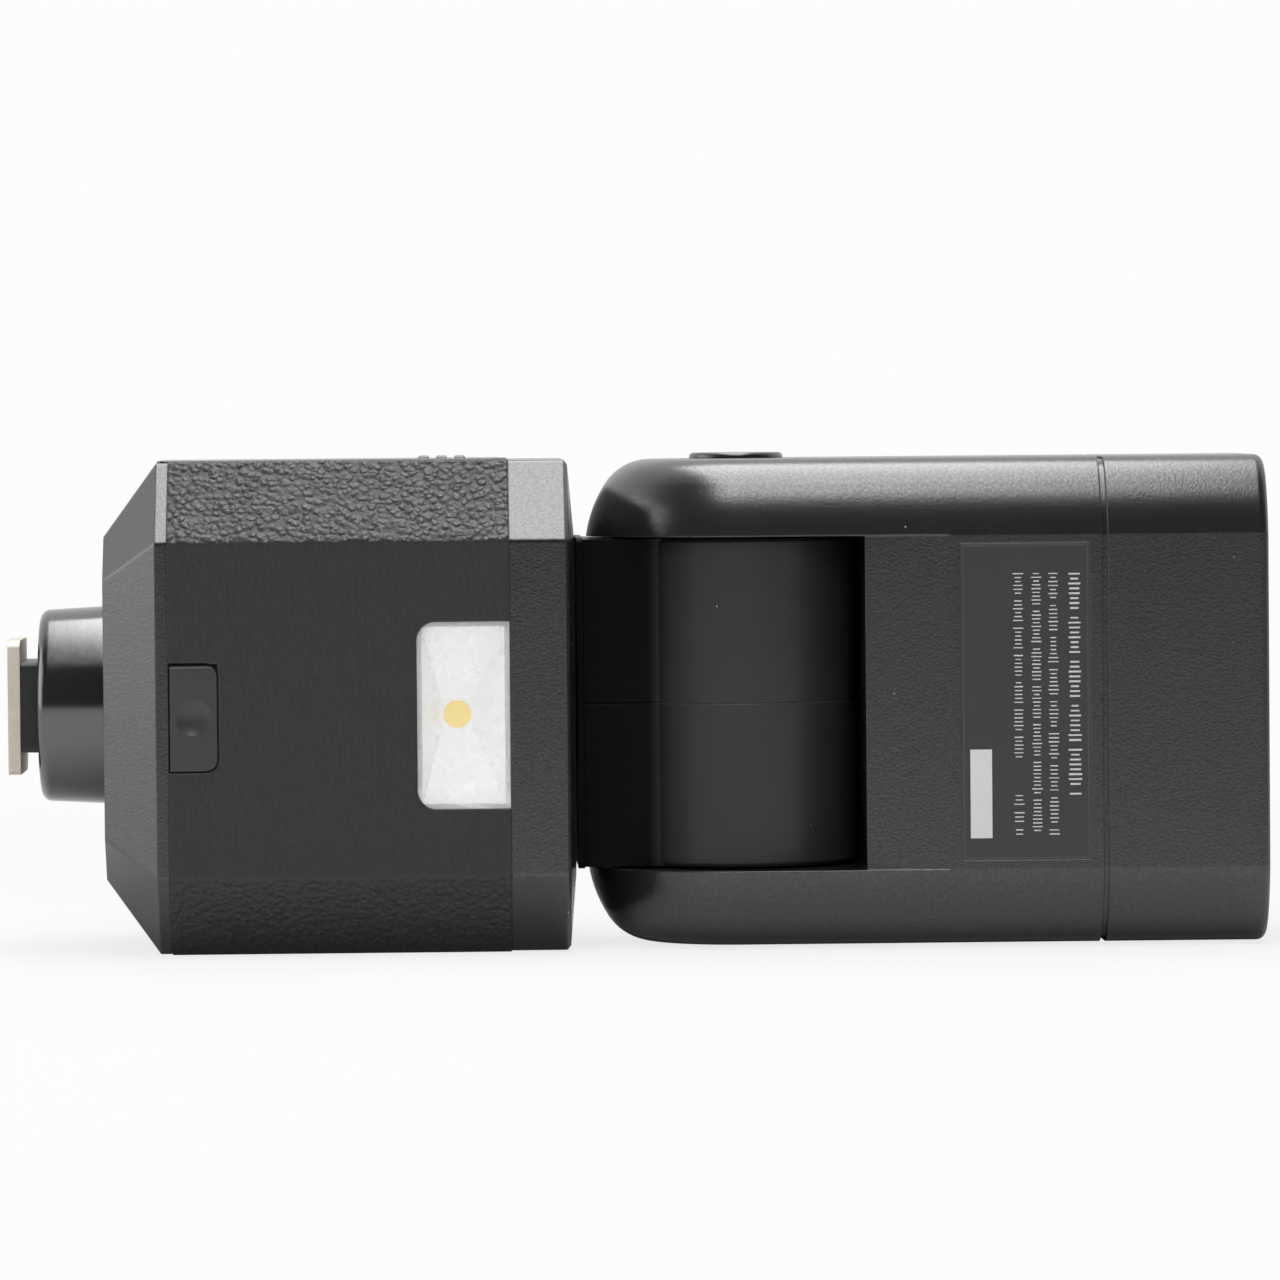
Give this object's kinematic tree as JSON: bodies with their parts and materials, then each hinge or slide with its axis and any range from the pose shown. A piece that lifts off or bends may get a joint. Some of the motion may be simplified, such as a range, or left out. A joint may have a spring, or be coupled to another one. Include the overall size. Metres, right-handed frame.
{
  "type": "speedlight flash",
  "caption": "Shoe-mount camera flash lying on its side, head raised in line with its body, with leather-grain body, front lamp, tilting swivel head and zooming reflector.",
  "frame": {"origin": "middle of the underside as the flash lies on its side", "axes": "+X along the flash from foot to head, -Y the front of the flash, +Z its battery-door side, up as it lies"},
  "size_m": [0.173, 0.0576, 0.0679],
  "materials": {
    "foot_metal": "bright satin plate",
    "contact_gold": "gold plated",
    "moulded_black": "fine satin spark-eroded moulding",
    "collar_black": "smooth semi-gloss moulding",
    "leather_grain": "moulded pebble grain",
    "panel_black": "fine matt moulding",
    "lamp_milky": "milky moulded lens with fine rings",
    "lens_clear": "clear moulded lens with fine grooves",
    "panel_clear": "clear prismatic sheet",
    "card_white": "plain white card",
    "display_glass": "smoked clear window",
    "display_grey": "unlit display with plain bars",
    "mirror_metal": "bright rolled reflector",
    "tube_glass": "clear glass tube",
    "steel": "plain bright steel",
    "spring_metal": "nickel plated",
    "cell_jacket": "plain printed jacket with bright ends",
    "board_green": "solder mask",
    "capacitor_sleeve": "shrunk sleeve",
    "inner_black": "plain moulding",
    "key_rubber": "soft matt key",
    "dial_black": "knurled moulding",
    "flap_rubber": "smooth rubber-like flap",
    "label_grey": "bare satin plate",
    "led_yellow": "white board with a yellow diode"
  },
  "bodies": {
    "flash_body": {"shoe_plate": "foot_metal", "shoe_block": "inner_black", "foot_collar": "collar_black", "screws": "steel", "base_cover": "moulded_black", "front_casing": "inner_black", "rear_casing": "inner_black", "covering": "leather_grain", "control_panel": "panel_black", "top_cover": "moulded_black", "lamp_window": "lamp_milky", "lamp_reflector": "mirror_metal", "lamp_led": "led_yellow", "power_socket": "inner_black", "battery_box": "inner_black", "cell_contacts": "spring_metal", "cell_1": "cell_jacket", "cell_2": "cell_jacket", "cell_3": "cell_jacket", "cell_4": "cell_jacket", "main_board": "board_green", "main_capacitor": "capacitor_sleeve", "key_board": "board_green", "display_window": "display_glass", "display_module": "display_grey", "swivel_bush": "inner_black"},
    "lock_lever": {"lock_lever": "moulded_black"},
    "lock_pin": {"lock_pin": "steel"},
    "sync_contact": {"sync_contact": "contact_gold"},
    "shoe_contacts": {"shoe_contacts": "contact_gold"},
    "socket_flap": {"socket_flap": "flap_rubber"},
    "door_slider": {"door_pin": "steel"},
    "battery_door": {"battery_door": "moulded_black", "door_contacts": "spring_metal"},
    "control_dial": {"control_dial": "dial_black"},
    "set_key": {"set_key": "key_rubber"},
    "power_switch": {"power_switch": "dial_black"},
    "neck": {"turntable": "moulded_black", "swivel_ring": "steel", "neck_left": "moulded_black", "neck_right": "moulded_black", "tilt_axle": "steel"},
    "head": {"head_front_shell": "moulded_black", "head_back_shell": "moulded_black", "label_plate": "label_grey", "bezel": "moulded_black", "fresnel_lens": "lens_clear", "guide_rods": "steel", "zoom_frame": "steel", "zoom_motor": "steel"},
    "wide_panel": {"wide_panel": "panel_clear"},
    "catchlight_card": {"catchlight_card": "card_white"},
    "zoom_carriage": {"zoom_carriage": "inner_black", "reflector": "mirror_metal", "flash_tube": "tube_glass"},
    "lead_screw": {"lead_screw": "steel"},
    "tilt_button": {"tilt_button": "moulded_black"},
    "key_1": {"key_1": "key_rubber"},
    "key_2": {"key_2": "key_rubber"},
    "key_3": {"key_3": "key_rubber"}
  },
  "joints": [
    {"name": "head_swivel", "type": "hinge", "parent": "flash_body", "child": "neck", "pos_m": [0.0146, -0.0018, 0.03365], "axis": [1, 0, 0], "range_deg": [-180, 135]},
    {"name": "head_tilt", "type": "hinge", "parent": "neck", "child": "head", "pos_m": [0.0146, -0.0018, 0.03365], "axis": [0, 0, -1], "range_deg": [0, 94]},
    {"name": "tilt_release", "type": "slide", "parent": "head", "child": "tilt_button", "axis": [0, 0, -1], "range_m": [0, 0.001], "stiffness_N_per_m": 400, "springref_m": -0.001},
    {"name": "wide_panel_slide", "type": "slide", "parent": "head", "child": "wide_panel", "axis": [1, 0, 0], "range_m": [0, 0.036]},
    {"name": "catchlight_slide", "type": "slide", "parent": "head", "child": "catchlight_card", "axis": [1, 0, 0], "range_m": [0, 0.036]},
    {"name": "zoom_travel", "type": "slide", "parent": "head", "child": "zoom_carriage", "axis": [1, 0, 0], "range_m": [-0.014, 0]},
    {"name": "lead_screw_turn", "type": "hinge", "parent": "head", "child": "lead_screw", "pos_m": [0.0146, -0.0046, 0.06095], "axis": [1, 0, 0], "range_deg": [-1685, 5]},
    {"name": "door_slide", "type": "slide", "parent": "flash_body", "child": "door_slider", "axis": [-1, 0, 0], "range_m": [0, 0.0035]},
    {"name": "door_hinge", "type": "hinge", "parent": "door_slider", "child": "battery_door", "pos_m": [-0.048, 0.0134, 0.0662], "axis": [-1, 0, 0], "range_deg": [0, 95]},
    {"name": "flap_hinge", "type": "hinge", "parent": "flash_body", "child": "socket_flap", "pos_m": [-0.0632, -0.028, 0.03915], "axis": [-1, 0, 0], "range_deg": [0, 95]},
    {"name": "key_1_press", "type": "slide", "parent": "flash_body", "child": "key_1", "axis": [0, -1, 0], "range_m": [0, 0.0005], "stiffness_N_per_m": 400, "springref_m": -0.0005},
    {"name": "key_2_press", "type": "slide", "parent": "flash_body", "child": "key_2", "axis": [0, -1, 0], "range_m": [0, 0.0005], "stiffness_N_per_m": 400, "springref_m": -0.0005},
    {"name": "key_3_press", "type": "slide", "parent": "flash_body", "child": "key_3", "axis": [0, -1, 0], "range_m": [0, 0.0005], "stiffness_N_per_m": 400, "springref_m": -0.0005},
    {"name": "set_press", "type": "slide", "parent": "flash_body", "child": "set_key", "axis": [0, -1, 0], "range_m": [0, 0.0005], "stiffness_N_per_m": 400, "springref_m": -0.0005},
    {"name": "dial_turn", "type": "hinge", "parent": "flash_body", "child": "control_dial", "pos_m": [-0.05305, 0.0252, 0.03365], "axis": [0, 1, 0], "continuous": true},
    {"name": "power_slide", "type": "slide", "parent": "flash_body", "child": "power_switch", "axis": [1, 0, 0], "range_m": [0, 0.0035]},
    {"name": "lock_turn", "type": "hinge", "parent": "flash_body", "child": "lock_lever", "pos_m": [-0.0728, -0.0018, 0.03365], "axis": [1, 0, 0], "range_deg": [0, 50.1]},
    {"name": "lock_pin_travel", "type": "slide", "parent": "flash_body", "child": "lock_pin", "axis": [-1, 0, 0], "range_m": [0, 0.0015]},
    {"name": "sync_contact_press", "type": "slide", "parent": "flash_body", "child": "sync_contact", "axis": [1, 0, 0], "range_m": [0, 0.0003], "stiffness_N_per_m": 300, "springref_m": -0.0005},
    {"name": "contacts_press", "type": "slide", "parent": "flash_body", "child": "shoe_contacts", "axis": [1, 0, 0], "range_m": [0, 0.0003], "stiffness_N_per_m": 400, "springref_m": -0.0005}
  ],
  "couplings": [
    {"joint": "lead_screw_turn", "follows": "zoom_travel", "rad_per_m": 2094.4},
    {"joint": "lock_turn", "follows": "lock_pin_travel", "rad_per_m": 581.78}
  ]
}
